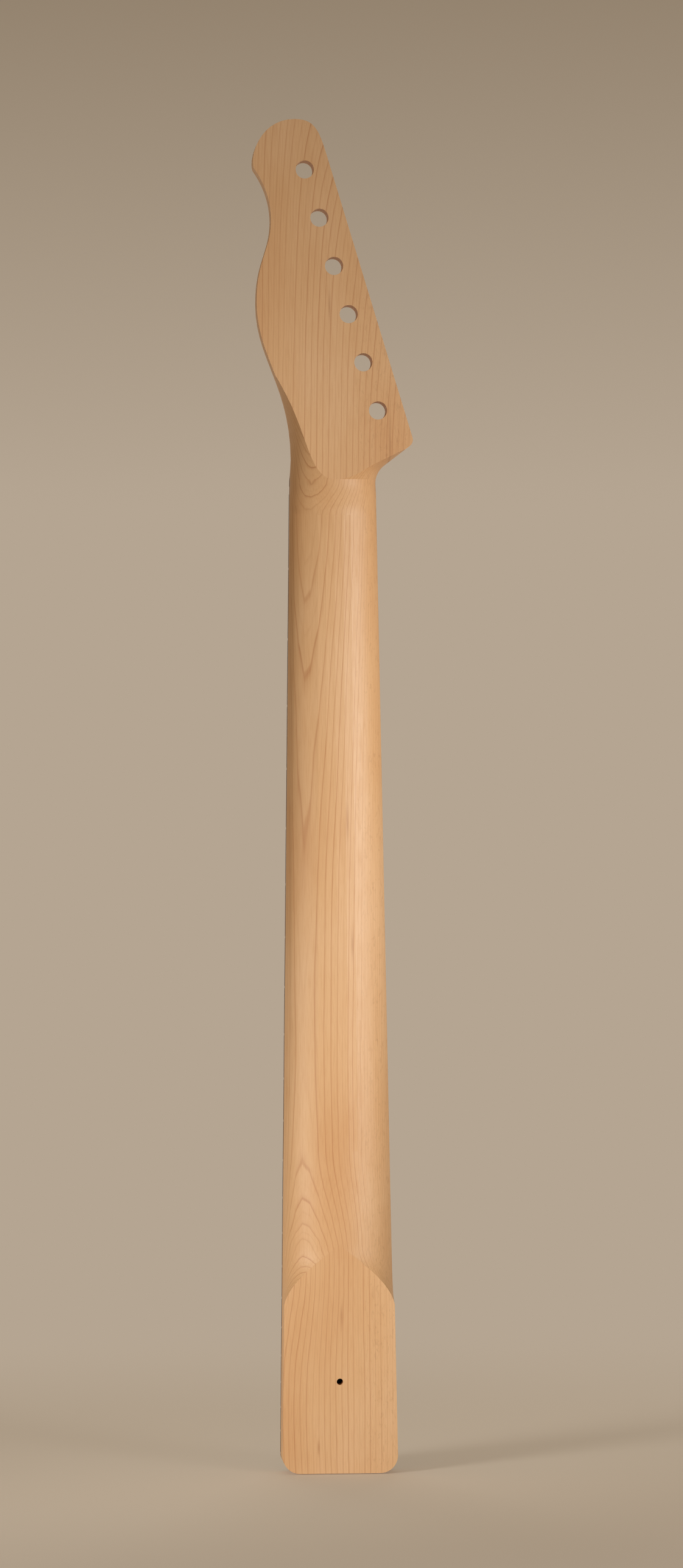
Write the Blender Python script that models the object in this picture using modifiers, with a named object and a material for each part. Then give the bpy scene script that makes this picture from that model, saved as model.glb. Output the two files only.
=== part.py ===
"""Bolt-on electric guitar neck: maple blank, radiused fingerboard, frets, nut and two-way truss rod.

Z runs up the neck from the heel end, X across it towards the tuner side, and the back faces -Y.
The origin is the centre of the heel's end face, half way through the heel's thickness.
"""

import math

import bmesh
import bpy
from mathutils import Matrix, Vector

# Scale and frets
SCALE_LENGTH = 0.6477
FRET_COUNT = 22
BOARD_END_MARGIN = 0.0080

# Plan of the shaft and the heel
NUT_WIDTH = 0.0418
HEEL_WIDTH = 0.0560
HEEL_CORNER_RADIUS = 0.0085

# Thicknesses, each measured through the centreline
HEEL_THICKNESS = 0.0254
BOARD_THICKNESS = 0.00635
FIRST_FRET_THICKNESS = 0.0208
TWELFTH_FRET_THICKNESS = 0.0228
HEADSTOCK_THICKNESS = 0.0143
FACE_STEP = 0.00315
SIDE_WALL = 0.0012
C_FULLNESS = 2.15
EDGE_EASE = 0.0003

# Heel transition: where its ramp starts, where its flat starts and where it reaches the sides
HEEL_FLAT_LENGTH = 0.0784
HEEL_CREASE_LENGTH = 0.0318
HEEL_RAMP_LENGTH = 0.0450
LOCATING_HOLE_RADIUS = 0.00155
LOCATING_HOLE_DEPTH = 0.0100
LOCATING_HOLE_Z = 0.0443

# Headstock transition, heights above the nut line
THROAT_RAMP_START = -0.0110
THROAT_TIP = 0.0060
TREBLE_SCOOP_LENGTH = 0.0520
BASS_SCOOP_LENGTH = 0.0150
SCOOP_POWER = 0.37
SCOOP_SOFTNESS = 0.08

# Headstock outline: reaches from the centreline and rises above the nut line
HEADSTOCK_LENGTH = 0.1800
TIP_OFFSET = 0.0183
TREBLE_NECK_REACH = 0.0204
TREBLE_NECK_RISE = 0.0161
BELLY_REACH = 0.0372
BELLY_RISE = 0.0912
WAIST_REACH = 0.0300
WAIST_RISE = 0.1315
BEAK_REACH = 0.0381
BEAK_RISE = 0.1561
BEAK_UNDERCUT = math.radians(32)
BEAK_FLARE = math.radians(21)
SHOULDER_RISE = 0.1608
TUNER_EDGE_ANGLE = math.radians(16.63)
CORNER_REACH = 0.0386
CORNER_RISE = 0.0236
CORNER_ANGLE = math.radians(52.7)
CORNER_RADIUS = 0.0038
BASS_ROOT_REACH = 0.0206
BASS_ROOT_RADIUS = 0.0110

# Tuners
TUNER_COUNT = 6
TUNER_PITCH = 0.0243
TUNER_HOLE_RADIUS = 0.0044
TUNER_INSET = 0.0122
FIRST_TUNER_RISE = 0.0392

# Fingerboard
BOARD_RADIUS = 0.2413
BOARD_TAIL = 0.0065
RAMP_RADIUS = 0.0127
SLOT_WIDTH = 0.0011
SLOT_DEPTH = 0.0022

# Frets
FRET_CROWN_WIDTH = 0.0024
FRET_CROWN_HEIGHT = 0.0011
TANG_THICKNESS = 0.0005
TANG_DEPTH = 0.0016
FRET_END_INSET = 0.0004
FRET_END_BEVEL = 0.6

# Nut
NUT_THICKNESS = 0.0033
NUT_SEAT_DEPTH = 0.0034
NUT_STANDOFF = 0.0016
STRING_COUNT = 6
STRING_SPREAD = 0.0356
THICKEST_STRING_SLOT = 0.00062
THINNEST_STRING_SLOT = 0.00022
NUT_BACK_FALL = 0.0009

# Position dots
MARKED_FRETS = (3, 5, 7, 9, 12, 15, 17, 19, 21)
OCTAVE_FRET = 12
DOT_RADIUS = 0.003175
DOT_DEPTH = 0.0016
DOT_SINK = 0.00005
OCTAVE_DOT_SPREAD = 0.0105
SIDE_DOT_RADIUS = 0.0010
SIDE_DOT_DEPTH = 0.0025
OCTAVE_SIDE_DOT_GAP = 0.0055

# Two-way truss rod and its channel
CHANNEL_HEEL_STOP = 0.0220
ROD_RADIUS = 0.0023
BAR_WIDTH = 0.0062
BAR_THICKNESS = 0.0028
BLOCK_LENGTH = 0.0120
FRONT_BLOCK_RISE = 0.0040
BLOCK_WALL = 0.0008
ADJUSTER_RADIUS = 0.0032
ADJUSTER_LENGTH = 0.0090
ADJUSTER_GAP = 0.0010
SOCKET_ACROSS_FLATS = 0.0040
SOCKET_DEPTH = 0.0050
ACCESS_WIDTH = 0.0076
ACCESS_RUN = 0.0300

# Clearances between pieces that touch
FIT = 0.0003
INLAY_FIT = 0.0002
ROD_FIT = 0.00015
CUT_OVERRUN = 0.0020

# Facets
ARC_STEPS = 10
CURVE_STEPS = 14
PROFILE_STEPS = 9
HOLE_SIDES = 32
SWEEP_STEPS = 8
CROWN_STEPS = 20
CROWN_FACETS = 6
MERGE = 2e-6
FLAT_ANGLE = math.radians(0.05)

# Planes and stations that follow from the sizes
HEEL_BACK_Y = -HEEL_THICKNESS / 2
CROWN_Y = HEEL_THICKNESS / 2
GLUE_Y = CROWN_Y - BOARD_THICKNESS
FACE_Y = GLUE_Y - FACE_STEP
HEAD_BACK_Y = FACE_Y - HEADSTOCK_THICKNESS
C_START_Y = GLUE_Y - SIDE_WALL
BOARD_AXIS_Y = CROWN_Y - BOARD_RADIUS
FRET_REACH = SCALE_LENGTH * (1 - 2 ** (-FRET_COUNT / 12))
NUT_Z = FRET_REACH + BOARD_END_MARGIN
TIP_Z = NUT_Z + HEADSTOCK_LENGTH
THROAT_Z = NUT_Z + THROAT_TIP
HEEL_TIP_Z = HEEL_FLAT_LENGTH + HEEL_CREASE_LENGTH
RAMP_RUN = math.sqrt(RAMP_RADIUS ** 2 - (RAMP_RADIUS - CROWN_Y + FACE_Y) ** 2)
RAMP_END_Z = NUT_Z + BOARD_TAIL + RAMP_RUN
BAR_TOP_Y = GLUE_Y - FIT
BAR_BOTTOM_Y = BAR_TOP_Y - BAR_THICKNESS
BLOCK_TOP_Y = BAR_BOTTOM_Y - FIT
ROD_Y = BLOCK_TOP_Y - BLOCK_WALL - ROD_FIT - ROD_RADIUS
BLOCK_BOTTOM_Y = ROD_Y - ROD_RADIUS - ROD_FIT - BLOCK_WALL
CHANNEL_FLOOR_Y = BLOCK_BOTTOM_Y - FIT
FRONT_BLOCK_TOP_Z = NUT_Z + FRONT_BLOCK_RISE
ADJUSTER_Z = FRONT_BLOCK_TOP_Z + ADJUSTER_GAP


def fret_z(number):
    """Height of a fret's centre line; number 0 is the nut's front face."""
    return NUT_Z - SCALE_LENGTH * (1 - 2 ** (-number / 12))


def half_width(z):
    """Half the width of the tapered shaft at a height."""
    return (HEEL_WIDTH + (NUT_WIDTH - HEEL_WIDTH) * z / NUT_Z) / 2


def blend(low, high, share):
    return low + (high - low) * share


def smooth(share):
    share = min(max(share, 0.0), 1.0)
    return share * share * (3 - 2 * share)


def new_collection(name):
    collection = bpy.data.collections.new(name)
    bpy.context.scene.collection.children.link(collection)
    return collection


for old in list(bpy.data.objects):
    bpy.data.objects.remove(old, do_unlink=True)

PARTS = new_collection("guitar_neck")
CUTTERS = new_collection("cutters")


def material(name, colour, roughness, metallic=0.0):
    mat = bpy.data.materials.new(name)
    mat.use_nodes = True
    shader = mat.node_tree.nodes["Principled BSDF"]
    shader.inputs["Base Color"].default_value = (*colour, 1.0)
    shader.inputs["Roughness"].default_value = roughness
    shader.inputs["Metallic"].default_value = metallic
    return mat


MAPLE = material("hard_maple", (0.62, 0.38, 0.19), 0.55)
ROSEWOOD = material("rosewood", (0.10, 0.045, 0.026), 0.50)
NICKEL_SILVER = material("nickel_silver", (0.72, 0.70, 0.65), 0.25, 1.0)
BONE = material("bone", (0.83, 0.78, 0.66), 0.40)
PEARL = material("pearl_plastic", (0.85, 0.85, 0.80), 0.25)
WHITE_PLASTIC = material("white_plastic", (0.86, 0.85, 0.80), 0.40)
STEEL = material("zinc_plated_steel", (0.55, 0.55, 0.56), 0.35, 1.0)
BLACK_STEEL = material("black_oxide_steel", (0.05, 0.05, 0.055), 0.40, 0.9)


def place_mesh(name, mesh, collection, mat=None):
    """Link a mesh as a named object; a cutter is only drawn as a wire."""
    obj = bpy.data.objects.new(name, mesh)
    collection.objects.link(obj)
    mesh.name = name
    mesh.materials.clear()
    if mat is not None:
        mesh.materials.append(mat)
    if collection is CUTTERS:
        obj.hide_render = True
        obj.display_type = 'WIRE'
    return obj


def from_bmesh(name, bm, collection, mat=None):
    mesh = bpy.data.meshes.new(name)
    bm.to_mesh(mesh)
    bm.free()
    return place_mesh(name, mesh, collection, mat)


OUTLINE_TURNS = {
    'X': Matrix.Rotation(math.radians(-90), 4, 'Y'),
    'Y': Matrix.Rotation(math.radians(90), 4, 'X'),
    'Z': Matrix.Identity(4),
}


def extruded(name, points, axis, low, high, collection, mat=None):
    """Solid between two planes across an axis, from a closed outline.

    The outline's points are (z, y) for axis X, (x, z) for axis Y and (x, y) for axis Z.
    """
    curve = bpy.data.curves.new(name, 'CURVE')
    curve.dimensions = '2D'
    curve.fill_mode = 'BOTH'
    curve.extrude = (high - low) / 2
    spline = curve.splines.new('POLY')
    spline.points.add(len(points) - 1)
    for point, (across, up) in zip(spline.points, points):
        point.co = (across, up, 0, 1)
    spline.use_cyclic_u = True
    guide = bpy.data.objects.new(name + "_outline", curve)
    CUTTERS.objects.link(guide)
    middle = Vector([(low + high) / 2 if axis == letter else 0 for letter in 'XYZ'])
    guide.matrix_world = Matrix.Translation(middle) @ OUTLINE_TURNS[axis]
    bpy.context.view_layer.update()
    evaluated = guide.evaluated_get(bpy.context.evaluated_depsgraph_get())
    mesh = bpy.data.meshes.new_from_object(evaluated)
    mesh.transform(guide.matrix_world)
    bpy.data.objects.remove(guide, do_unlink=True)
    bm = bmesh.new()
    bm.from_mesh(mesh)
    bpy.data.meshes.remove(mesh)
    bmesh.ops.remove_doubles(bm, verts=bm.verts, dist=MERGE)
    bmesh.ops.recalc_face_normals(bm, faces=bm.faces)
    return from_bmesh(name, bm, collection, mat)


def box(name, low, high, collection, mat=None):
    low, high = Vector(low), Vector(high)
    bm = bmesh.new()
    bmesh.ops.create_cube(bm, size=1.0)
    bmesh.ops.scale(bm, vec=high - low, verts=bm.verts)
    bmesh.ops.translate(bm, vec=(low + high) / 2, verts=bm.verts)
    return from_bmesh(name, bm, collection, mat)


def add_cylinder(bm, radius, low, high, sides=HOLE_SIDES):
    """Add a closed cylinder between two points."""
    low, high = Vector(low), Vector(high)
    run = high - low
    turn = Vector((0, 0, 1)).rotation_difference(run).to_matrix().to_4x4()
    bmesh.ops.create_cone(bm, cap_ends=True, segments=sides, radius1=radius, radius2=radius,
                          depth=run.length, matrix=Matrix.Translation((low + high) / 2) @ turn)


def add_swept(bm, profile, half_angle, end_bevel=0.0):
    """Sweep a closed (radius, z) profile round the fingerboard's axis, to both sides of its middle.

    The ends lean inwards by end_bevel for each unit of height over the profile's first point.
    """
    centre = Vector((0, BOARD_AXIS_Y, 0))
    verts = [bm.verts.new((0, BOARD_AXIS_Y + radius, z)) for radius, z in profile]
    edges = [bm.edges.new(pair) for pair in zip(verts, verts[1:] + verts[:1])]
    bmesh.ops.rotate(bm, cent=centre, matrix=Matrix.Rotation(half_angle, 3, 'Z'), verts=verts)
    swept = bmesh.ops.spin(bm, geom=verts + edges, cent=centre, axis=(0, 0, 1),
                           angle=-2 * half_angle, steps=SWEEP_STEPS)
    last = [item for item in swept["geom_last"] if isinstance(item, bmesh.types.BMVert)]
    for ring, side in ((verts, -1), (last, 1)):
        for vert in ring:
            height = (vert.co - centre).xy.length - profile[0][0]
            if height > MERGE:
                lean = Matrix.Rotation(side * height * end_bevel / profile[0][0], 3, 'Z')
                vert.co = centre + lean @ (vert.co - centre)
    for ring in (verts, last):
        rim = [edge for edge in bm.edges if edge.verts[0] in ring and edge.verts[1] in ring]
        bmesh.ops.contextual_create(bm, geom=rim)


def cut(obj, cutter, operation='DIFFERENCE'):
    """Cut a piece with a cutter and keep the result as the piece's own mesh."""
    step = obj.modifiers.new(cutter.name, 'BOOLEAN')
    step.operation = operation
    step.solver = 'EXACT'
    step.object = cutter
    bpy.context.view_layer.update()
    evaluated = obj.evaluated_get(bpy.context.evaluated_depsgraph_get())
    result = bpy.data.meshes.new_from_object(evaluated)
    obj.modifiers.clear()
    whole = obj.data
    obj.data = result
    bpy.data.meshes.remove(whole)
    result.name = obj.name


def clean(obj):
    """Merge the points that the cuts leave almost on top of each other."""
    bm = bmesh.new()
    bm.from_mesh(obj.data)
    bmesh.ops.remove_doubles(bm, verts=bm.verts, dist=MERGE)
    bm.to_mesh(obj.data)
    bm.free()


def arc(centre, radius, start, end, steps=ARC_STEPS):
    """Points on an arc, with angles measured from the outline's first axis towards its second."""
    angles = [blend(start, end, step / steps) for step in range(steps + 1)]
    return [(centre[0] + radius * math.cos(a), centre[1] + radius * math.sin(a)) for a in angles]


def bezier(a, b, c, d, steps=CURVE_STEPS):
    """Points on a cubic curve, without its first point."""
    points = []
    for step in range(1, steps + 1):
        t = step / steps
        weights = ((1 - t) ** 3, 3 * t * (1 - t) ** 2, 3 * t * t * (1 - t), t ** 3)
        points.append(tuple(sum(w * p[i] for w, p in zip(weights, (a, b, c, d))) for i in (0, 1)))
    return points


def along(point, angle, distance):
    """Point reached by going a distance at an angle that leans from +Z towards -X."""
    return point[0] - distance * math.sin(angle), point[1] + distance * math.cos(angle)


def tuner_edge(z):
    """Point of the straight tuner edge at a height."""
    return CORNER_REACH - (z - NUT_Z - CORNER_RISE) * math.tan(TUNER_EDGE_ANGLE), z


def treble_side():
    """Outline on the -X side, from the nut line up round the belly, waist and beak to the tip."""
    nut = (-half_width(NUT_Z), NUT_Z)
    neck = (-TREBLE_NECK_REACH, NUT_Z + TREBLE_NECK_RISE)
    belly = (-BELLY_REACH, NUT_Z + BELLY_RISE)
    waist = (-WAIST_REACH, NUT_Z + WAIST_RISE)
    beak = (-BEAK_REACH, NUT_Z + BEAK_RISE)
    tip = (-TIP_OFFSET, TIP_Z)
    belly_run = BELLY_RISE - TREBLE_NECK_RISE
    waist_run = WAIST_RISE - BELLY_RISE
    beak_run = BEAK_RISE - WAIST_RISE
    cap_run = HEADSTOCK_LENGTH - BEAK_RISE
    points = [nut, neck]
    points += bezier(neck, along(neck, 0, 0.48 * belly_run), along(belly, 0, -0.35 * belly_run), belly)
    points += bezier(belly, along(belly, 0, 0.52 * waist_run), along(waist, 0, -0.365 * waist_run), waist)
    points += bezier(waist, along(waist, 0, 0.565 * beak_run),
                     along(beak, BEAK_UNDERCUT, -0.045 * beak_run), beak)
    cap_corner = (tip[0] - 0.85 * (BEAK_REACH - TIP_OFFSET), tip[1])
    points += bezier(beak, along(beak, BEAK_FLARE, 0.26 * cap_run), cap_corner, tip)
    return points


def bass_side():
    """Outline on the +X side, from the nut line up the tuner edge to the tip."""
    corner = (CORNER_REACH, NUT_Z + CORNER_RISE)
    root_run = (CORNER_REACH - BASS_ROOT_REACH) / math.sin(CORNER_ANGLE)
    root_z = corner[1] - root_run * math.cos(CORNER_ANGLE)
    root_centre = (BASS_ROOT_REACH + BASS_ROOT_RADIUS,
                   root_z - BASS_ROOT_RADIUS * math.tan(CORNER_ANGLE / 2))
    points = [(half_width(NUT_Z), NUT_Z)]
    points += arc(root_centre, BASS_ROOT_RADIUS, math.pi, math.pi - CORNER_ANGLE)
    tangent = CORNER_RADIUS * math.tan((CORNER_ANGLE + TUNER_EDGE_ANGLE) / 2)
    start = along(corner, -CORNER_ANGLE, -tangent)
    centre = (start[0] - CORNER_RADIUS * math.cos(CORNER_ANGLE),
              start[1] + CORNER_RADIUS * math.sin(CORNER_ANGLE))
    points += arc(centre, CORNER_RADIUS, -CORNER_ANGLE, TUNER_EDGE_ANGLE)
    shoulder = tuner_edge(NUT_Z + SHOULDER_RISE)
    tip = (-TIP_OFFSET, TIP_Z)
    cap_run = HEADSTOCK_LENGTH - SHOULDER_RISE
    points.append(shoulder)
    points += bezier(shoulder, along(shoulder, TUNER_EDGE_ANGLE, 0.72 * cap_run),
                     (tip[0] + 0.525 * cap_run, tip[1]), tip)
    return points


def reach(side, z):
    """How far a side's outline stands from the centreline at a height."""
    if z <= NUT_Z:
        return half_width(z)
    for (x0, z0), (x1, z1) in zip(side, side[1:]):
        if z0 <= z <= z1 and z1 > z0:
            return abs(blend(x0, x1, (z - z0) / (z1 - z0)))
    return abs(side[-1][0])


def heel_corners():
    """The heel's two rounded corners, from the -X side to the +X side."""
    inner = half_width(HEEL_CORNER_RADIUS) - HEEL_CORNER_RADIUS
    left = arc((-inner, HEEL_CORNER_RADIUS), HEEL_CORNER_RADIUS, math.pi, 1.5 * math.pi)
    right = arc((inner, HEEL_CORNER_RADIUS), HEEL_CORNER_RADIUS, 1.5 * math.pi, 2 * math.pi)
    return left + right


TREBLE = treble_side()
BASS = bass_side()


def shaft_depth(z):
    """Depth of the plain C profile below its start, from the two stated thicknesses."""
    share = (z - fret_z(1)) / (fret_z(12) - fret_z(1))
    thickness = blend(FIRST_FRET_THICKNESS, TWELFTH_FRET_THICKNESS, share)
    return thickness - (CROWN_Y - C_START_Y)


def crease_share(z, side):
    """How far out the flat of the heel or headstock has spread, from 0 at its tip to 1 at the side."""
    if z <= HEEL_TIP_Z:
        share = (HEEL_TIP_Z - z) / HEEL_CREASE_LENGTH
        return math.sin(math.pi / 2 * min(share, 1.0))
    if z >= THROAT_Z:
        length = TREBLE_SCOOP_LENGTH if side == 'treble' else BASS_SCOOP_LENGTH
        share = min((z - THROAT_Z) / length, 1.0)
        eased = share * ((share + SCOOP_SOFTNESS) / (1 + SCOOP_SOFTNESS)) ** (2 * SCOOP_POWER - 1)
        return math.sqrt(min(eased, 1.0))
    return 0.0


def carve_depths(z, side):
    """Depth of the carving curve's bottom and of the flat that stops it, below the curve's start."""
    if z <= HEEL_TIP_Z + HEEL_RAMP_LENGTH:
        flat = C_START_Y - HEEL_BACK_Y
        carved = blend(flat, shaft_depth(z), smooth((z - HEEL_TIP_Z) / HEEL_RAMP_LENGTH))
    else:
        flat = C_START_Y - HEAD_BACK_Y
        ramp = THROAT_TIP - THROAT_RAMP_START
        carved = blend(flat, shaft_depth(z), smooth((THROAT_Z - z) / ramp))
    spread = min(crease_share(z, side), 0.999999)
    if spread > 0:
        carved = flat / (1 - spread ** C_FULLNESS) ** (1 / C_FULLNESS)
    return carved, flat


def carve_points(z, side, half):
    """Points of one side of a section, from the outline down to the crease or the centreline."""
    carved, flat = carve_depths(z, side)
    bottom = min(carved, flat)
    last = max(math.asin(min(bottom / carved, 1.0) ** (C_FULLNESS / 2)), 1e-3)
    points = []
    for step in range(PROFILE_STEPS + 1):
        angle = last * step / PROFILE_STEPS
        across = half * max(math.cos(angle), 0.0) ** (2 / C_FULLNESS)
        down = bottom * (math.sin(angle) / math.sin(last)) ** (2 / C_FULLNESS)
        points.append((across, C_START_Y - down))
    return points


def section(z):
    """Closed section of the carved back at a height, seen along Z."""
    treble_end = THROAT_Z + TREBLE_SCOOP_LENGTH
    bass_end = THROAT_Z + BASS_SCOOP_LENGTH
    treble_half = reach(TREBLE, z) + EDGE_EASE if z <= treble_end else 1.2 * BELLY_REACH
    bass_half = reach(BASS, z) + EDGE_EASE if z <= bass_end else 1.2 * CORNER_REACH
    top = GLUE_Y + CUT_OVERRUN
    left = [(-x, y) for x, y in carve_points(z, 'treble', treble_half)]
    right = carve_points(z, 'bass', bass_half)
    return [(-treble_half, top)] + left + right[::-1] + [(bass_half, top)]


def stations():
    """Heights of the loft's sections, closer together where the back changes shape."""
    heights = [-CUT_OVERRUN]
    for step in range(13):
        heights.append(HEEL_TIP_Z - HEEL_CREASE_LENGTH * (1 - step / 12))
    for step in range(1, 9):
        heights.append(HEEL_TIP_Z + HEEL_RAMP_LENGTH * step / 8)
    ramp_start = NUT_Z + THROAT_RAMP_START
    for step in range(1, 7):
        heights.append(blend(heights[21], ramp_start, step / 6))
    for step in range(1, 9):
        heights.append(blend(ramp_start, THROAT_Z, step / 8))
    for step in range(1, 13):
        heights.append(THROAT_Z + BASS_SCOOP_LENGTH * (step / 12) ** 1.6)
    for step in range(1, 17):
        heights.append(blend(THROAT_Z + BASS_SCOOP_LENGTH, THROAT_Z + TREBLE_SCOOP_LENGTH, step / 16))
    heights.append(THROAT_Z + BASS_SCOOP_LENGTH + CUT_OVERRUN / 10)
    heights.append(THROAT_Z + TREBLE_SCOOP_LENGTH + CUT_OVERRUN / 10)
    heights.append(TIP_Z + CUT_OVERRUN)
    return sorted(heights)


def carved_back(name):
    """Loft of the whole neck's back: heel block, ramp, C-shaped shaft and headstock scoop."""
    bm = bmesh.new()
    rings = [[bm.verts.new((x, y, z)) for x, y in section(z)] for z in stations()]
    for lower, upper in zip(rings, rings[1:]):
        for i, (a, b) in enumerate(zip(lower, upper)):
            j = (i + 1) % len(lower)
            bm.faces.new((a, lower[j], upper[j], b))
    bm.faces.new(rings[0][::-1])
    bm.faces.new(rings[-1])
    bmesh.ops.remove_doubles(bm, verts=bm.verts, dist=MERGE)
    bmesh.ops.triangulate(bm, faces=[face for face in bm.faces if len(face.verts) == 4])
    bmesh.ops.recalc_face_normals(bm, faces=bm.faces)
    bmesh.ops.dissolve_limit(bm, angle_limit=FLAT_ANGLE, verts=bm.verts, edges=bm.edges)
    return from_bmesh(name, bm, PARTS, MAPLE)


def front_cutter():
    """What the router takes off the front: the headstock's step and its curved end under the nut."""
    centre = (RAMP_END_Z, FACE_Y + RAMP_RADIUS)
    high = CROWN_Y + CUT_OVERRUN
    start = -math.pi / 2 - math.acos((centre[1] - high) / RAMP_RADIUS)
    ramp = arc(centre, RAMP_RADIUS, start, -math.pi / 2, 2 * ARC_STEPS)
    far = TIP_Z + CUT_OVERRUN
    wide = 2 * CORNER_REACH
    return extruded("front_cutter", ramp + [(far, FACE_Y), (far, high)], 'X', -wide, wide, CUTTERS)


def tuner_centres():
    """Centres of the tuner holes, in a line beside the straight tuner edge."""
    low = tuner_edge(NUT_Z + FIRST_TUNER_RISE)
    start = (low[0] - TUNER_INSET / math.cos(TUNER_EDGE_ANGLE), low[1])
    return [along(start, TUNER_EDGE_ANGLE, TUNER_PITCH * i) for i in range(TUNER_COUNT)]


def drill_cutter():
    """The tuner holes and the blind locating hole in the heel."""
    bm = bmesh.new()
    for x, z in tuner_centres():
        add_cylinder(bm, TUNER_HOLE_RADIUS, (x, HEEL_BACK_Y - 2 * CUT_OVERRUN, z),
                     (x, GLUE_Y + CUT_OVERRUN, z))
    add_cylinder(bm, LOCATING_HOLE_RADIUS, (0, HEEL_BACK_Y - 2 * CUT_OVERRUN, LOCATING_HOLE_Z),
                 (0, HEEL_BACK_Y + LOCATING_HOLE_DEPTH, LOCATING_HOLE_Z), 16)
    return from_bmesh("drill_cutter", bm, CUTTERS)


def rod_channel_cutter():
    """Flat-bottomed channel for the truss rod, from the heel stop to just past the front block."""
    half = BAR_WIDTH / 2 + FIT
    return box("rod_channel_cutter", (-half, CHANNEL_FLOOR_Y, CHANNEL_HEEL_STOP),
               (half, GLUE_Y + CUT_OVERRUN, FRONT_BLOCK_TOP_Z + FIT), CUTTERS)


def access_cutter():
    """Round-ended slot that lets a hex key reach the adjuster from the headstock's face."""
    half = ACCESS_WIDTH / 2
    low = FRONT_BLOCK_TOP_Z
    end = (0, NUT_Z + ACCESS_RUN - half)
    points = [(-half, low), (half, low)] + arc(end, half, 0, math.pi, 2 * ARC_STEPS)
    floor = ROD_Y - ADJUSTER_RADIUS - FIT
    return extruded("access_cutter", points, 'Y', floor, GLUE_Y + CUT_OVERRUN, CUTTERS)


def make_neck_blank():
    neck = carved_back("neck_blank")
    outline = heel_corners() + BASS + TREBLE[-2::-1]
    plate = extruded("outline_cutter", outline, 'Y', HEEL_BACK_Y - CUT_OVERRUN, GLUE_Y, CUTTERS)
    cut(plate, drill_cutter())
    cut(neck, front_cutter())
    cut(neck, rod_channel_cutter())
    cut(neck, access_cutter())
    cut(neck, plate, 'INTERSECT')
    clean(neck)
    return neck


def board_surface(x):
    """Height of the radiused playing surface at a distance from the centreline."""
    return BOARD_AXIS_Y + math.sqrt(BOARD_RADIUS ** 2 - x ** 2)


def dot_places():
    """Centre (x, z) of every face dot: one between frets, a pair at the octave."""
    places = []
    for fret in MARKED_FRETS:
        z = (fret_z(fret) + fret_z(fret - 1)) / 2
        offsets = (-OCTAVE_DOT_SPREAD, OCTAVE_DOT_SPREAD) if fret == OCTAVE_FRET else (0.0,)
        letters = ("_treble", "_bass") if fret == OCTAVE_FRET else ("",)
        places += [(f"{fret:02d}{letter}", x, z) for letter, x in zip(letters, offsets)]
    return places


def side_dot_places():
    """Height z of every side dot on the bass edge; the octave has two."""
    places = []
    for fret in MARKED_FRETS:
        z = (fret_z(fret) + fret_z(fret - 1)) / 2
        if fret == OCTAVE_FRET:
            places += [(f"{fret:02d}_upper", z + OCTAVE_SIDE_DOT_GAP / 2),
                       (f"{fret:02d}_lower", z - OCTAVE_SIDE_DOT_GAP / 2)]
        else:
            places.append((f"{fret:02d}", z))
    return places


def side_dot_y(z):
    """Middle of the board's edge, half way from the glue line to the playing surface."""
    return (GLUE_Y + FIT + board_surface(half_width(z))) / 2


def fret_slot_cutter():
    bm = bmesh.new()
    low = BOARD_RADIUS - SLOT_DEPTH
    high = BOARD_RADIUS + CUT_OVERRUN
    for number in range(1, FRET_COUNT + 1):
        z = fret_z(number)
        near, far = z - SLOT_WIDTH / 2, z + SLOT_WIDTH / 2
        half_angle = math.asin((half_width(z) + CUT_OVERRUN) / BOARD_RADIUS)
        add_swept(bm, [(low, near), (high, near), (high, far), (low, far)], half_angle)
    bmesh.ops.recalc_face_normals(bm, faces=bm.faces)
    return from_bmesh("fret_slot_cutter", bm, CUTTERS)


def dot_cutter():
    bm = bmesh.new()
    for _, x, z in dot_places():
        outward = Vector((x, board_surface(x) - BOARD_AXIS_Y, 0)).normalized()
        top = Vector((0, BOARD_AXIS_Y, z)) + outward * BOARD_RADIUS
        add_cylinder(bm, DOT_RADIUS + INLAY_FIT, top - outward * (DOT_DEPTH + INLAY_FIT),
                     top + outward * CUT_OVERRUN)
    for _, z in side_dot_places():
        y = side_dot_y(z)
        edge = half_width(z)
        add_cylinder(bm, SIDE_DOT_RADIUS + INLAY_FIT, (edge - SIDE_DOT_DEPTH - INLAY_FIT, y, z),
                     (edge + CUT_OVERRUN, y, z), 16)
    return from_bmesh("dot_cutter", bm, CUTTERS)


def board_outline():
    """Plan of the fingerboard: the shaft's taper, the heel's corners and the neck's sides at the tail."""
    tail = [blend(NUT_Z, RAMP_END_Z, step / ARC_STEPS) for step in range(ARC_STEPS + 1)]
    right = [(reach(BASS, z), z) for z in tail]
    left = [(-reach(TREBLE, z), z) for z in tail[::-1]]
    return heel_corners() + right + left


def make_fingerboard():
    wide = HEEL_WIDTH / 2 + CUT_OVERRUN
    lean = math.asin(wide / BOARD_RADIUS)
    crown = arc((0, BOARD_AXIS_Y), BOARD_RADIUS, math.pi / 2 - lean, math.pi / 2 + lean, CROWN_STEPS)
    bottom = GLUE_Y + FIT
    board = extruded("fingerboard", [(-wide, bottom), (wide, bottom)] + crown, 'Z',
                     -CUT_OVERRUN, RAMP_END_Z, PARTS, ROSEWOOD)
    cut(board, extruded("board_outline_cutter", board_outline(), 'Y', GLUE_Y - CUT_OVERRUN,
                        CROWN_Y + CUT_OVERRUN, CUTTERS), 'INTERSECT')
    cut(board, bpy.data.objects["front_cutter"])
    cut(board, box("nut_slot_cutter", (-wide, CROWN_Y - NUT_SEAT_DEPTH, NUT_Z - FIT),
                   (wide, CROWN_Y + CUT_OVERRUN, NUT_Z + NUT_THICKNESS + FIT), CUTTERS))
    cut(board, fret_slot_cutter())
    cut(board, dot_cutter())
    clean(board)
    return board


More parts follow.
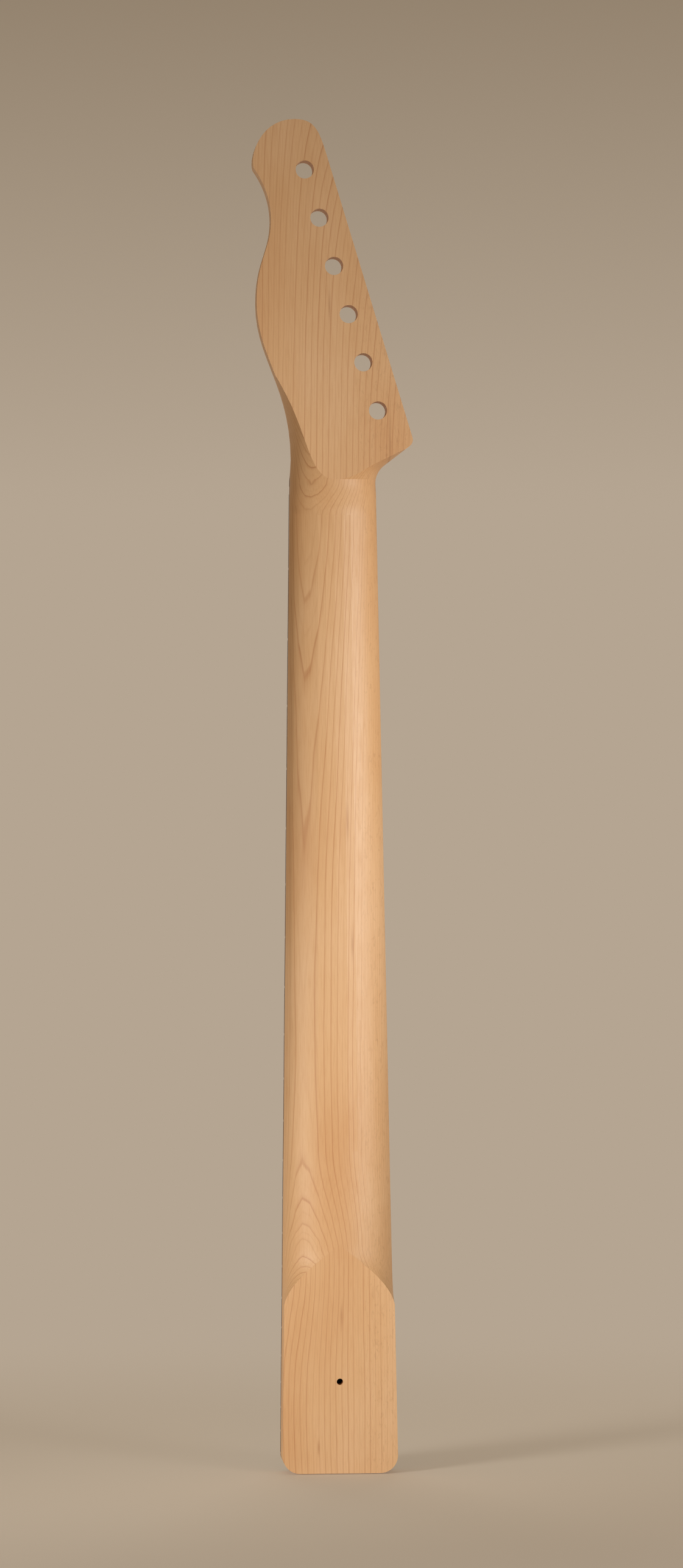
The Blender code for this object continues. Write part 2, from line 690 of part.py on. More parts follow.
def fret_profile(z):
    """Section of fret wire: a crown on a thin tang, as (radius, z)."""
    seat = BOARD_RADIUS + INLAY_FIT
    half = FRET_CROWN_WIDTH / 2
    crown_radius = (half ** 2 + FRET_CROWN_HEIGHT ** 2) / (2 * FRET_CROWN_HEIGHT)
    sweep = math.asin(min(half / crown_radius, 1.0))
    centre = (seat + FRET_CROWN_HEIGHT - crown_radius, z)
    crown = arc(centre, crown_radius, -sweep, sweep, CROWN_FACETS)
    tang = TANG_THICKNESS / 2
    bottom = BOARD_RADIUS - TANG_DEPTH
    return crown + [(seat, z + tang), (bottom, z + tang), (bottom, z - tang), (seat, z - tang)]


def make_frets():
    for number in range(1, FRET_COUNT + 1):
        z = fret_z(number)
        bm = bmesh.new()
        half_angle = math.asin((half_width(z) - FRET_END_INSET) / BOARD_RADIUS)
        add_swept(bm, fret_profile(z), half_angle, FRET_END_BEVEL)
        bmesh.ops.recalc_face_normals(bm, faces=bm.faces)
        from_bmesh(f"fret_{number:02d}", bm, PARTS, NICKEL_SILVER)


def make_nut():
    """Bone nut with a radiused top that falls away behind its front face, and six string slots."""
    half = half_width(NUT_Z + NUT_THICKNESS) - EDGE_EASE
    top_radius = BOARD_RADIUS + NUT_STANDOFF
    lean = math.asin(half / top_radius)
    crown = arc((0, BOARD_AXIS_Y), top_radius, math.pi / 2 - lean, math.pi / 2 + lean, CROWN_STEPS // 2)
    seat = CROWN_Y - NUT_SEAT_DEPTH + FIT
    back = NUT_Z + NUT_THICKNESS
    nut = extruded("nut", [(-half, seat), (half, seat)] + crown, 'Z', NUT_Z, back, PARTS, BONE)
    high = CROWN_Y + NUT_STANDOFF
    fall = [(NUT_Z + NUT_THICKNESS / 3, high), (back + CUT_OVERRUN, high - NUT_BACK_FALL * 2.0),
            (back + CUT_OVERRUN, high + CUT_OVERRUN), (NUT_Z + NUT_THICKNESS / 3, high + CUT_OVERRUN)]
    cut(nut, extruded("nut_fall_cutter", fall, 'X', -HEEL_WIDTH, HEEL_WIDTH, CUTTERS))
    bm = bmesh.new()
    for string in range(STRING_COUNT):
        share = string / (STRING_COUNT - 1)
        x = blend(-STRING_SPREAD / 2, STRING_SPREAD / 2, share)
        radius = blend(THINNEST_STRING_SLOT, THICKEST_STRING_SLOT, share)
        y = BOARD_AXIS_Y + math.sqrt(top_radius ** 2 - x ** 2) - radius / 3
        add_cylinder(bm, radius, (x, y, NUT_Z - CUT_OVERRUN), (x, y, back + CUT_OVERRUN), 12)
    cut(nut, from_bmesh("string_slot_cutter", bm, CUTTERS))
    clean(nut)


def make_dots():
    for label, x, z in dot_places():
        outward = Vector((x, board_surface(x) - BOARD_AXIS_Y, 0)).normalized()
        top = Vector((0, BOARD_AXIS_Y, z)) + outward * (BOARD_RADIUS - DOT_SINK)
        bm = bmesh.new()
        add_cylinder(bm, DOT_RADIUS, top - outward * (DOT_DEPTH - DOT_SINK), top, 24)
        from_bmesh(f"face_dot_{label}", bm, PARTS, PEARL)
    for label, z in side_dot_places():
        y = side_dot_y(z)
        edge = half_width(z + SIDE_DOT_RADIUS)
        bm = bmesh.new()
        add_cylinder(bm, SIDE_DOT_RADIUS, (edge - SIDE_DOT_DEPTH, y, z), (edge, y, z), 16)
        from_bmesh(f"side_dot_{label}", bm, PARTS, WHITE_PLASTIC)


def make_block(name, low, high):
    """Threaded steel block that the bar is brazed on and the rod screws through."""
    half = BAR_WIDTH / 2
    block = box(name, (-half, BLOCK_BOTTOM_Y, low), (half, BLOCK_TOP_Y, high), PARTS, STEEL)
    bm = bmesh.new()
    add_cylinder(bm, ROD_RADIUS + ROD_FIT, (0, ROD_Y, low - CUT_OVERRUN), (0, ROD_Y, high + CUT_OVERRUN))
    cut(block, from_bmesh(name + "_bore_cutter", bm, CUTTERS))


def make_truss_rod():
    """Turning rod with its hex adjuster, revolved about its own axis, then the fixed bar and blocks."""
    rod_low = CHANNEL_HEEL_STOP + BLOCK_LENGTH / 4
    profile = [(0, ADJUSTER_Z + ADJUSTER_LENGTH), (ADJUSTER_RADIUS, ADJUSTER_Z + ADJUSTER_LENGTH),
               (ADJUSTER_RADIUS, ADJUSTER_Z), (ROD_RADIUS, ADJUSTER_Z), (ROD_RADIUS, rod_low), (0, rod_low)]
    mesh = bpy.data.meshes.new("truss_rod")
    mesh.from_pydata([(r, 0, z) for r, z in profile], [(i, i + 1) for i in range(len(profile) - 1)], [])
    rod = place_mesh("truss_rod", mesh, PARTS, BLACK_STEEL)
    rod.location = (0, ROD_Y, 0)
    screw = rod.modifiers.new("turning", 'SCREW')
    screw.axis = 'Z'
    screw.steps = HOLE_SIDES
    screw.render_steps = HOLE_SIDES
    screw.use_merge_vertices = True
    screw.merge_threshold = 0.00005
    bm = bmesh.new()
    top = ADJUSTER_Z + ADJUSTER_LENGTH
    hex_radius = SOCKET_ACROSS_FLATS / 2 / math.cos(math.pi / 6)
    add_cylinder(bm, hex_radius, (0, ROD_Y, top - SOCKET_DEPTH), (0, ROD_Y, top + CUT_OVERRUN), 6)
    socket = rod.modifiers.new("hex_socket", 'BOOLEAN')
    socket.operation = 'DIFFERENCE'
    socket.solver = 'EXACT'
    socket.object = from_bmesh("hex_socket_cutter", bm, CUTTERS)
    half = BAR_WIDTH / 2
    low, high = CHANNEL_HEEL_STOP + FIT, FRONT_BLOCK_TOP_Z
    box("truss_bar", (-half, BAR_BOTTOM_Y, low), (half, BAR_TOP_Y, high), PARTS, STEEL)
    make_block("front_block", high - BLOCK_LENGTH, high)
    make_block("rear_block", low, low + BLOCK_LENGTH)


make_neck_blank()
make_fingerboard()
make_frets()
make_nut()
make_dots()
make_truss_rod()
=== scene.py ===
"""Bare maple guitar neck with a rosewood board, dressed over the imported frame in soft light."""

import math

import bpy
from mathutils import Matrix, Vector


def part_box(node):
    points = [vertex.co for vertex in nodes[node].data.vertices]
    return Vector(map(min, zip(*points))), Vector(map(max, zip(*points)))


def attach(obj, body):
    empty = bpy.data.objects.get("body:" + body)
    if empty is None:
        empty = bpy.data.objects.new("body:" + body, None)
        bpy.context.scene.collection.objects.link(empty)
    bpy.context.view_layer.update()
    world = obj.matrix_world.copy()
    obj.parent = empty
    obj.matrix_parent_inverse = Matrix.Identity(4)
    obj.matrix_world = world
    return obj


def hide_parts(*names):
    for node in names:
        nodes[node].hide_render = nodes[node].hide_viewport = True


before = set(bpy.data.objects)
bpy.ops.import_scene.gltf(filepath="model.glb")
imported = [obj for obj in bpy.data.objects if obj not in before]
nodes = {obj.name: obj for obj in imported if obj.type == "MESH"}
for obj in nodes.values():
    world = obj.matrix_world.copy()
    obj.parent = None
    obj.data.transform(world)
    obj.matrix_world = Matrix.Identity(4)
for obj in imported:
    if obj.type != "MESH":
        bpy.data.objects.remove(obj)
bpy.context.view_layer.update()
bpy.ops.object.select_all(action='DESELECT')

# Neck blank: one plank of hard maple, sawn to outline, carved to a C-shaped back and drilled for
# six tuners. It was sanded by hand, which eased its sharp edges, and the wood is left raw. The
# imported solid's triangles are merged, and the edges round its large flats stay crisp in shading.
WELD = 0.00001
FLAT_ANGLE = math.radians(0.3)
FLAT_AREA = 0.0010
EASED_EDGE = 0.00035
EASED_ANGLE = math.radians(50)
SMOOTH_ANGLE = math.radians(28)

blank = nodes["neck_blank"].copy()
blank.data = nodes["neck_blank"].data.copy()
blank.name = "sanded_neck_blank"
blank.parent = None
for key in list(blank.keys()):
    del blank[key]
bpy.context.scene.collection.objects.link(blank)
bpy.context.view_layer.objects.active = blank
blank.select_set(True)
bpy.ops.object.mode_set(mode='EDIT')
bpy.ops.mesh.select_all(action='SELECT')
bpy.ops.mesh.remove_doubles(threshold=WELD)
bpy.ops.mesh.dissolve_limited(angle_limit=FLAT_ANGLE, delimit=set())
bpy.ops.mesh.select_mode(type='EDGE')
bpy.ops.mesh.select_all(action='DESELECT')
bpy.ops.object.mode_set(mode='OBJECT')
flats = [face for face in blank.data.polygons if face.area > FLAT_AREA]
flat_edges = {key for face in flats for key in face.edge_keys}
for edge in blank.data.edges:
    edge.select = edge.key in flat_edges
bpy.ops.object.mode_set(mode='EDIT')
bpy.ops.mesh.mark_sharp()
bpy.ops.object.mode_set(mode='OBJECT')
ease = blank.modifiers.new("eased_edges", 'BEVEL')
ease.width = EASED_EDGE
ease.segments = 2
ease.limit_method = 'ANGLE'
ease.angle_limit = EASED_ANGLE
ease.use_clamp_overlap = True
bpy.ops.object.modifier_apply(modifier=ease.name)
bpy.ops.object.shade_smooth_by_angle(angle=SMOOTH_ANGLE)
steady = blank.modifiers.new("steady_normals", 'WEIGHTED_NORMAL')
steady.keep_sharp = True
bpy.ops.object.modifier_apply(modifier=steady.name)
blank.select_set(False)


def linear(hex_colour):
    """Linear RGBA of an sRGB hex colour."""
    channels = [int(hex_colour[i:i + 2], 16) / 255 for i in (1, 3, 5)]
    return (*(c / 12.92 if c <= 0.04045 else ((c + 0.055) / 1.055) ** 2.4 for c in channels), 1.0)


def new_material(name):
    """Empty Principled material; returns it with its node tree and shader."""
    mat = bpy.data.materials.new(name)
    mat.use_nodes = True
    return mat, mat.node_tree, mat.node_tree.nodes["Principled BSDF"]


def add(kind, *values, stops=(), out=0, **named):
    """Add a node to the tree in hand and return one of its outputs. Values go to its inputs in
    order, and named ones to the input of that name or number (i6), or else they set the node.
    Stops are a colour ramp's positions and colours, which are hex strings or grey levels."""
    node = tree.nodes.new("ShaderNode" + kind)
    inputs = dict(enumerate(values))
    for key, value in named.items():
        if key[0].isupper():
            inputs[key] = value
        elif key[1:].isdigit():
            inputs[int(key[1:])] = value
        else:
            setattr(node, key, value)
    for key, value in inputs.items():
        if isinstance(value, bpy.types.NodeSocket):
            tree.links.new(value, node.inputs[key])
        else:
            node.inputs[key].default_value = value
    if stops:
        elements = node.color_ramp.elements
        while len(elements) < len(stops):
            elements.new(0.5)
        for element, (position, colour) in zip(elements, stops):
            element.position = position
            grey = not isinstance(colour, str)
            element.color = (colour, colour, colour, 1.0) if grey else linear(colour)
    return node.outputs[out]


# Raw sanded hard maple. Its growth rings are near-flat layers that lean across the neck, so the
# flat backs show straight lines and the round shaft shows nested arches where it is cut through
# them. RING_DRIFT and TREBLE_SWELL say how many rings the layers have shifted at each height.
RING_THICKNESS = 0.00115
RING_LEAN = math.radians(25)
RING_DRIFT = ((0.000, -1.90), (0.110, -1.90), (0.150, -1.75), (0.190, -1.65), (0.239, -0.99),
              (0.341, 0.66), (0.396, 1.99), (0.432, 3.18), (0.469, 4.05), (0.654, 4.60))
TREBLE_SWELL = ((0.000, 0.0), (0.040, 0.0), (0.070, 1.0), (0.095, 2.2), (0.102, 2.3), (0.117, 1.0),
                (0.130, 0.3), (0.150, 0.0), (0.654, 0.0))
SWELL_EDGE, SWELL_WIDTH = 0.010, 0.028
DRIFT_SPAN = 12.0
WANDER_RINGS = 1.8
RIPPLE_RINGS = 0.16
NECK_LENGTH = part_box("neck_blank")[1].z

maple, tree, shader = new_material("raw_hard_maple")
place = add("TexCoord", out="Object")
across, depth, height = add("SeparateXYZ", place).node.outputs
share_up = add("Math", height, NECK_LENGTH, operation='DIVIDE')
shifts = []
for table in (RING_DRIFT, TREBLE_SWELL):
    curve = add("FloatCurve", 1.0, share_up)
    points = curve.node.mapping.curves[0].points
    while len(points) < len(table):
        points.new(0.5, 0.5)
    for point, (z, ring_count) in zip(points, table):
        point.location = (min(z / NECK_LENGTH, 1.0), ring_count / DRIFT_SPAN + 0.5)
    curve.node.mapping.update()
    shift = add("Math", curve, 0.5, operation='SUBTRACT')
    shifts.append(add("Math", shift, DRIFT_SPAN, operation='MULTIPLY'))
treble = add("Math", SWELL_EDGE, across, operation='SUBTRACT')
treble = add("Math", treble, SWELL_WIDTH, operation='DIVIDE', use_clamp=True)
shifts[1] = add("Math", shifts[1], treble, operation='MULTIPLY')

# Beside the tuner edge the lines lean a little way over with it, from the throat upwards.
TUNER_EDGE_SLOPE = 0.2987
TUNER_EDGE_FOOT = 0.1872
EDGE_BAND = 0.045
EDGE_LEAN = 0.055
LEAN_START = 0.50
beside = add("Math", height, TUNER_EDGE_SLOPE, EDGE_BAND - TUNER_EDGE_FOOT,
             operation='MULTIPLY_ADD')
beside = add("Math", beside, across, operation='ADD')
beside = add("Math", beside, EDGE_BAND, operation='DIVIDE', use_clamp=True)
above = add("Math", height, LEAN_START, operation='SUBTRACT')
above = add("Math", above, 0.0, operation='MAXIMUM')
leaning = add("Math", beside, beside, operation='MULTIPLY')
leaning = add("Math", leaning, above, operation='MULTIPLY')
leaning = add("Math", leaning, EDGE_LEAN, operation='MULTIPLY')
upright = add("Math", across, leaning, operation='SUBTRACT')

layer = add("Math", depth, -math.cos(RING_LEAN) / RING_THICKNESS, operation='MULTIPLY')
layer = add("Math", upright, -math.sin(RING_LEAN) / RING_THICKNESS, layer,
            operation='MULTIPLY_ADD')
slow = add("Mapping", place, Scale=(30.0, 30.0, 5.0))
wander = add("TexNoise", slow, Scale=1.0, Detail=2.0)
shifts.append(add("Math", wander, WANDER_RINGS, -WANDER_RINGS / 2, operation='MULTIPLY_ADD'))
close = add("Mapping", place, Scale=(260.0, 260.0, 28.0))
ripple = add("TexNoise", close, Scale=1.0, Detail=2.0)
shifts.append(add("Math", ripple, RIPPLE_RINGS, -RIPPLE_RINGS / 2, operation='MULTIPLY_ADD'))
rings = layer
for shift in shifts:
    rings = add("Math", rings, shift, operation='ADD')
ring_phase = add("Math", rings, operation='FRACT')
ring_number = add("Math", rings, operation='FLOOR')
ring_tone = add("TexWhiteNoise", W=ring_number, noise_dimensions='1D', out="Value")

# Latewood: a thin red-brown line ends each year, stronger in some years than in others, with a
# faint second line inside the years whose own line is weak.
LINE_COLOUR = "#AB6835"
LINE_STRENGTH = 0.62
YEAR_LEAST, YEAR_SPREAD = 0.30, 0.65
line = add("ValToRGB", ring_phase, stops=((0.0, 0.10), (0.05, 0.0), (0.70, 0.0), (0.86, 0.30),
                                          (0.925, 1.0), (0.97, 0.75), (1.0, 0.10)))
inner_line = add("ValToRGB", ring_phase, stops=((0.34, 0.0), (0.42, 0.35), (0.47, 0.0)))
year_strength = add("Math", ring_tone, YEAR_SPREAD, YEAR_LEAST, operation='MULTIPLY_ADD')
year_weakness = add("Math", YEAR_LEAST + YEAR_SPREAD, year_strength, operation='SUBTRACT')
line = add("Math", line, year_strength, operation='MULTIPLY')
line = add("Math", inner_line, year_weakness, line, operation='MULTIPLY_ADD')
line = add("Math", line, LINE_STRENGTH, operation='MULTIPLY')

# Maple's pores are finer than a pixel, so its fibre is drawn as strokes about 0.5 mm wide. Cloudy
# patches a few centimetres long vary the wood's own colour.
FIBRE_STRENGTH = 0.22
fibre_space = add("Mapping", place, Scale=(2200.0, 2200.0, 90.0))
fibre = add("TexNoise", fibre_space, Scale=1.0, Detail=4.0, Roughness=0.6)
cloud_space = add("Mapping", place, Scale=(30.0, 30.0, 9.0))
cloud = add("TexNoise", cloud_space, Scale=1.0, Detail=3.0)
wood = add("ValToRGB", cloud, stops=((0.30, "#D2A271"), (0.52, "#DAAF80"), (0.74, "#E0B88D")))
wood = add("Mix", line, i6=wood, i7=linear(LINE_COLOUR), data_type='RGBA', out=2)
fibre_tone = add("ValToRGB", fibre, stops=((0.30, "#D8B48A"), (0.55, "#FFFFFF")))
wood = add("Mix", FIBRE_STRENGTH, i6=wood, i7=fibre_tone, data_type='RGBA', blend_type='MULTIPLY',
           out=2)

# Ray fleck: short dashes, 1 to 4 mm, where the bass flank cuts the rays.
FLECK_COLOUR = "#8E5A30"
FLECK_STRENGTH = 0.16
FLANK_START, FLANK_WIDTH = 0.00636, 0.01091
fleck_space = add("Mapping", place, Scale=(900.0, 420.0, 230.0))
fleck = add("TexNoise", fleck_space, Scale=1.0, Detail=2.0, Distortion=1.2)
fleck = add("ValToRGB", fleck, stops=((0.56, 0.0), (0.68, 1.0)))
flank = add("Math", across, FLANK_START, operation='SUBTRACT')
flank = add("Math", flank, FLANK_WIDTH, operation='DIVIDE', use_clamp=True)
fleck = add("Math", fleck, flank, operation='MULTIPLY')
fleck = add("Math", fleck, FLECK_STRENGTH, operation='MULTIPLY')
wood = add("Mix", fleck, i6=wood, i7=linear(FLECK_COLOUR), data_type='RGBA', out=2)

# Mineral streaks: long thin strokes along the grain, each given by its x, z and half length.
STREAKS = ((0.0269, 0.4950, 0.0140), (-0.0020, 0.5636, 0.0060), (0.0010, 0.0755, 0.0050),
           (-0.0105, 0.0125, 0.0035), (0.0055, 0.3150, 0.0090), (0.0075, 0.2550, 0.0070))
STREAK_COLOUR = "#96592C"
STREAK_WIDTH = 0.00055
STREAK_STRENGTH = 0.38
streaks = 0.0
for x, z, half_length in STREAKS:
    dx = add("Math", across, x, operation='SUBTRACT')
    dx = add("Math", dx, STREAK_WIDTH, operation='DIVIDE')
    dz = add("Math", height, z, operation='SUBTRACT')
    dz = add("Math", dz, half_length, operation='DIVIDE')
    far = add("Math", dz, dz, operation='MULTIPLY')
    far = add("Math", dx, dx, far, operation='MULTIPLY_ADD')
    far = add("Math", far, -1.0, operation='MULTIPLY')
    stroke = add("Math", far, operation='EXPONENT')
    streaks = add("Math", stroke, streaks, operation='ADD')
streaks = add("Math", streaks, 1.0, operation='MINIMUM')
streaks = add("Math", streaks, STREAK_STRENGTH, operation='MULTIPLY')
wood = add("Mix", streaks, i6=wood, i7=linear(STREAK_COLOUR), data_type='RGBA', out=2)

tree.links.new(wood, shader.inputs["Base Color"])
dullness = add("ValToRGB", fibre, stops=((0.3, 0.54), (0.7, 0.44)))
tree.links.new(dullness, shader.inputs["Roughness"])
relief = add("Bump", Strength=0.10, Distance=0.0002, Height=fibre)
tree.links.new(relief, shader.inputs["Normal"])
shader.inputs["IOR"].default_value = 1.48
blank.data.materials.clear()
blank.data.materials.append(maple)
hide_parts("neck_blank")
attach(blank, "neck")

# Truss bar and its two anchor blocks: cold-drawn mild steel laid in the channel under the board.
# The zinc plating is passivated, which leaves cloudy blue and straw tints some millimetres wide.
zinc_steel, tree, shader = new_material("zinc_plated_steel")
place = add("TexCoord", out="Object")
haze = add("TexNoise", place, Scale=170.0, Detail=3.0)
tint = add("ValToRGB", haze, stops=((0.35, "#9BA1A9"), (0.50, "#A8A9AC"), (0.65, "#B6B2A4")))
tree.links.new(tint, shader.inputs["Base Color"])
dullness = add("ValToRGB", haze, stops=((0.3, 0.30), (0.7, 0.42)))
tree.links.new(dullness, shader.inputs["Roughness"])
shader.inputs["Metallic"].default_value = 1.0


def dress(start, finish):
    """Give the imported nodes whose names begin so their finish."""
    for name, node in nodes.items():
        if name.startswith(start):
            node.data.materials.clear()
            node.data.materials.append(finish)


dress("truss_bar", zinc_steel)
dress("front_block", zinc_steel)
dress("rear_block", zinc_steel)

# Truss rod: one steel rod, threaded into the blocks, with a hex socket at the headstock. It is
# blackened in a hot oxide bath and oiled, which leaves it dark, with a mottled satin sheen.
black_steel, tree, shader = new_material("black_oxide_steel")
place = add("TexCoord", out="Object")
mottle = add("TexNoise", place, Scale=900.0, Detail=3.0)
tint = add("ValToRGB", mottle, stops=((0.35, "#1F1F23"), (0.50, "#26262A"), (0.68, "#34322F")))
tree.links.new(tint, shader.inputs["Base Color"])
dullness = add("ValToRGB", mottle, stops=((0.3, 0.36), (0.7, 0.50)))
tree.links.new(dullness, shader.inputs["Roughness"])
shader.inputs["Metallic"].default_value = 1.0
dress("truss_rod", black_steel)

# Fingerboard: rosewood glued to the blank, planed to a curved face and slotted for the frets. It
# is oiled, not lacquered, so its long dark bands and its open pores, drawn 0.3 mm wide, show.
PORE_STRENGTH = 0.8
rosewood, tree, shader = new_material("oiled_rosewood")
place = add("TexCoord", out="Object")
band_space = add("Mapping", place, Scale=(260.0, 260.0, 6.0))
band = add("TexNoise", band_space, Scale=1.0, Detail=3.0)
pore_space = add("Mapping", place, Scale=(3200.0, 3200.0, 120.0))
pore = add("TexNoise", pore_space, Scale=1.0, Detail=2.0)
wood = add("ValToRGB", band, stops=((0.32, "#2E1A12"), (0.55, "#4C2C1D"), (0.75, "#633C28")))
pores = add("ValToRGB", pore, stops=((0.34, 0.35), (0.46, 1.0)))
wood = add("Mix", PORE_STRENGTH, i6=wood, i7=pores, data_type='RGBA', blend_type='MULTIPLY', out=2)
tree.links.new(wood, shader.inputs["Base Color"])
dullness = add("ValToRGB", pore, stops=((0.34, 0.60), (0.46, 0.42)))
tree.links.new(dullness, shader.inputs["Roughness"])
relief = add("Bump", Strength=0.25, Distance=0.0002, Height=pore)
tree.links.new(relief, shader.inputs["Normal"])
dress("fingerboard", rosewood)

# Face dots: discs punched from pearl acrylic and glued into the board. Flakes in the cast sheet
# lie in swirls about a millimetre wide that turn from warm to cool white.
pearl, tree, shader = new_material("pearl_acrylic")
place = add("TexCoord", out="Object")
swirl = add("TexNoise", place, Scale=750.0, Detail=2.0, Distortion=2.5)
tint = add("ValToRGB", swirl, stops=((0.32, "#D3D6D6"), (0.50, "#E9E8DF"), (0.66, "#F4F1E6")))
tree.links.new(tint, shader.inputs["Base Color"])
dullness = add("ValToRGB", swirl, stops=((0.3, 0.24), (0.7, 0.14)))
tree.links.new(dullness, shader.inputs["Roughness"])
shader.inputs["IOR"].default_value = 1.49
shader.inputs["Coat Weight"].default_value = 0.3
dress("face_dot_", pearl)

# Side dots: thin rod of white styrene glued into the bass edge and filed flush, which leaves fine
# scratches and a dull, faintly uneven white.
styrene, tree, shader = new_material("white_styrene")
place = add("TexCoord", out="Object")
scratch_space = add("Mapping", place, Scale=(2500.0, 2500.0, 300.0))
scratch = add("TexNoise", scratch_space, Scale=1.0, Detail=2.0)
tint = add("ValToRGB", scratch, stops=((0.3, "#DEDBCC"), (0.6, "#E8E6DB")))
tree.links.new(tint, shader.inputs["Base Color"])
dullness = add("ValToRGB", scratch, stops=((0.3, 0.48), (0.7, 0.34)))
tree.links.new(dullness, shader.inputs["Roughness"])
shader.inputs["IOR"].default_value = 1.59
dress("side_dot_", styrene)

# Frets: drawn nickel silver wire, pressed into the slots, levelled and polished along its crown,
# so what scratches are left run the length of the wire, under 0.3 mm apart.
nickel_silver, tree, shader = new_material("polished_nickel_silver")
place = add("TexCoord", out="Object")
scratch_space = add("Mapping", place, Scale=(60.0, 4000.0, 4000.0))
scratch = add("TexNoise", scratch_space, Scale=1.0, Detail=3.0)
tint = add("ValToRGB", scratch, stops=((0.3, "#C6C2B6"), (0.6, "#D1CEC4")))
tree.links.new(tint, shader.inputs["Base Color"])
dullness = add("ValToRGB", scratch, stops=((0.3, 0.30), (0.7, 0.16)))
tree.links.new(dullness, shader.inputs["Roughness"])
relief = add("Bump", Strength=0.06, Distance=0.0001, Height=scratch)
tree.links.new(relief, shader.inputs["Normal"])
shader.inputs["Metallic"].default_value = 1.0
dress("fret_", nickel_silver)

# Nut: a bone blank set in its slot, filed for six strings and polished. Bone is cream, with faint
# darker channels along its length.
bone, tree, shader = new_material("polished_bone")
place = add("TexCoord", out="Object")
channel_space = add("Mapping", place, Scale=(140.0, 1500.0, 1500.0))
channel = add("TexNoise", channel_space, Scale=1.0, Detail=3.0)
tint = add("ValToRGB", channel, stops=((0.32, "#D6C8A6"), (0.46, "#E6DCC3"), (0.70, "#EDE5D0")))
tree.links.new(tint, shader.inputs["Base Color"])
dullness = add("ValToRGB", channel, stops=((0.3, 0.42), (0.6, 0.32)))
tree.links.new(dullness, shader.inputs["Roughness"])
shader.inputs["IOR"].default_value = 1.54
dress("nut", bone)

# Floor: a sheet of warm matt paper under the heel. It fades with distance into the background's
# colour, so no horizon shows from any side, and keeps the neck's soft shadow.
BACKGROUND = "#B5A592"
FLOOR_COLOUR = "#E2D4C0"
FLOOR_SIZE = 60.0
FLOOR_DROP = 0.0004
FADE_START, FADE_END = 0.10, 0.9
FADE_LEAST = 0.35
floor_paper, tree, shader = new_material("warm_matt_paper")
shader.inputs["Base Color"].default_value = linear(FLOOR_COLOUR)
shader.inputs["Roughness"].default_value = 0.9
distance = add("VectorMath", add("TexCoord", out="Object"), operation='LENGTH', out="Value")
fade = add("MapRange", distance, FADE_START, FADE_END, FADE_LEAST, interpolation_type='SMOOTHSTEP')
blend = add("MixShader", fade, shader.outputs[0], add("Emission", linear(BACKGROUND)))
tree.links.new(blend, tree.nodes["Material Output"].inputs["Surface"])
bpy.ops.mesh.primitive_plane_add(size=FLOOR_SIZE, location=(0, 0, -FLOOR_DROP))
floor = bpy.context.object
floor.name = "studio_floor"
floor.data.materials.append(floor_paper)
floor.select_set(False)

# Camera: level and far back, a few degrees to the left of square-on, with the photograph's slight
# roll. Its lens gives the photograph's scale at the neck.
CAMERA_DISTANCE = 3.1
CAMERA_TURN = math.radians(3.6)
CAMERA_ROLL = math.radians(0.33)
CAMERA_AIM_X = 0.0032
CAMERA_HEIGHT = 0.3328
PIXELS_PER_METRE = 3390.0
PHOTO_HEIGHT = 2576
SENSOR = 36.0
cam_data = bpy.data.cameras.new("camera")
camera = bpy.data.objects.new("camera", cam_data)
bpy.context.scene.collection.objects.link(camera)
ahead = Vector((math.sin(CAMERA_TURN), math.cos(CAMERA_TURN), 0))
camera.location = Vector((CAMERA_AIM_X, 0, CAMERA_HEIGHT)) - ahead * CAMERA_DISTANCE
right = Vector((ahead.y, -ahead.x, 0))
level = Matrix((right, (0, 0, 1), -ahead)).transposed()
camera.rotation_euler = (level @ Matrix.Rotation(-CAMERA_ROLL, 3, 'Z')).to_euler()
cam_data.sensor_fit = 'AUTO'
cam_data.sensor_width = SENSOR
cam_data.lens = SENSOR * PIXELS_PER_METRE * CAMERA_DISTANCE / PHOTO_HEIGHT
cam_data.clip_start = 0.01
cam_data.clip_end = 50.0
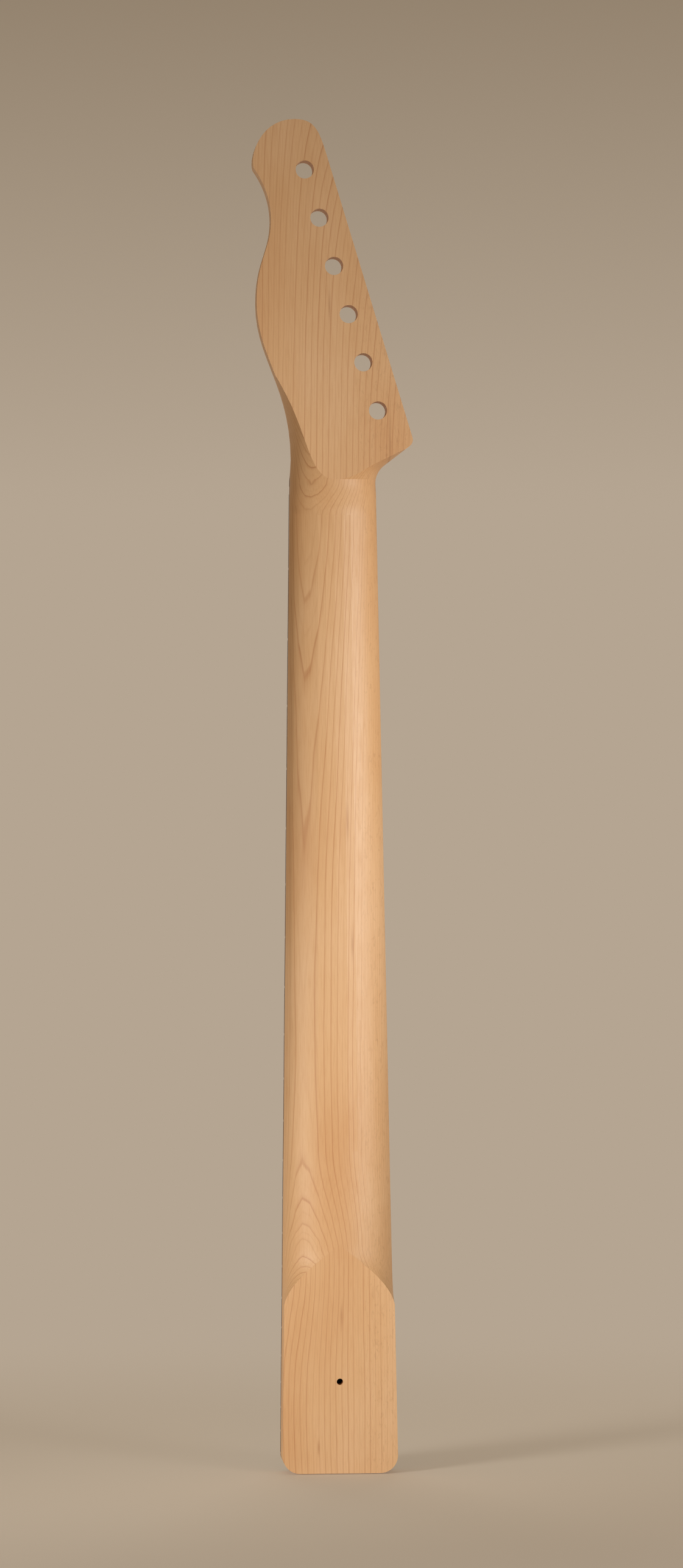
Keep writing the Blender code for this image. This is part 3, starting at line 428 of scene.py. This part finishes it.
bpy.context.scene.camera = camera

# Light: a soft lamp on the right lights the shaft and falls off up the headstock, one on the left
# lights the heel, and a wide one fills the front. The world is a pale warm fill, and camera,
# glossy and transmission rays see the background in it, with painted shade making it darker above.
AMBIENT_COLOUR = "#FFE9CB"
AMBIENT = 0.30
# Painted shade: the background's colour above, darker where the light falls off towards the top.
BACKGROUND_SHADE_ABOVE = "#8B7A65"


def lamp(name, place, aim, size, spread, power):
    """Square white lamp at a place, aimed at a point, with its spread in degrees."""
    data = bpy.data.lights.new(name, 'AREA')
    data.shape = 'SQUARE'
    data.size = size
    data.spread = math.radians(spread)
    data.energy = power
    obj = bpy.data.objects.new(name, data)
    obj.location = place
    obj.rotation_euler = (Vector(aim) - Vector(place)).to_track_quat('-Z', 'Y').to_euler()
    bpy.context.scene.collection.objects.link(obj)
    return obj


lamp("upper_lamp", (0.72, -1.00, 0.38), (0, 0, 0.34), size=0.45, spread=34, power=0.60)
lamp("lower_lamp", (-0.82, -0.85, 0.36), (0, 0, 0.01), size=0.35, spread=30, power=0.33)
front_fill = lamp("front_fill", (0.0, 1.50, 0.75), (0, 0, 0.30), size=1.0, spread=180, power=8.0)
front_fill.visible_glossy = False
world = bpy.data.worlds.new("studio")
world.use_nodes = True
tree = world.node_tree
ambient = tree.nodes["Background"]
ambient.inputs[0].default_value = linear(AMBIENT_COLOUR)
ambient.inputs[1].default_value = AMBIENT
gaze_height = add("SeparateXYZ", add("TexCoord", out="Generated"), out=2)
# The backdrop darkens upwards into the painted shade above, which stands in for the light's
# falloff.
shaded_backdrop = add("ValToRGB", gaze_height,
               stops=((0.0, BACKGROUND), (0.045, BACKGROUND), (0.14, BACKGROUND_SHADE_ABOVE)))
rays = add("LightPath").node.outputs
seen = add("Math", rays["Is Glossy Ray"], rays["Is Transmission Ray"], operation='MAXIMUM')
seen = add("Math", rays["Is Camera Ray"], seen, operation='MAXIMUM')
chosen = add("MixShader", seen, ambient.outputs[0], add("Background", shaded_backdrop, 1.0))
tree.links.new(chosen, tree.nodes["World Output"].inputs["Surface"])
bpy.context.scene.world = world
bpy.context.scene.view_settings.view_transform = 'Standard'

bpy.context.view_layer.update()
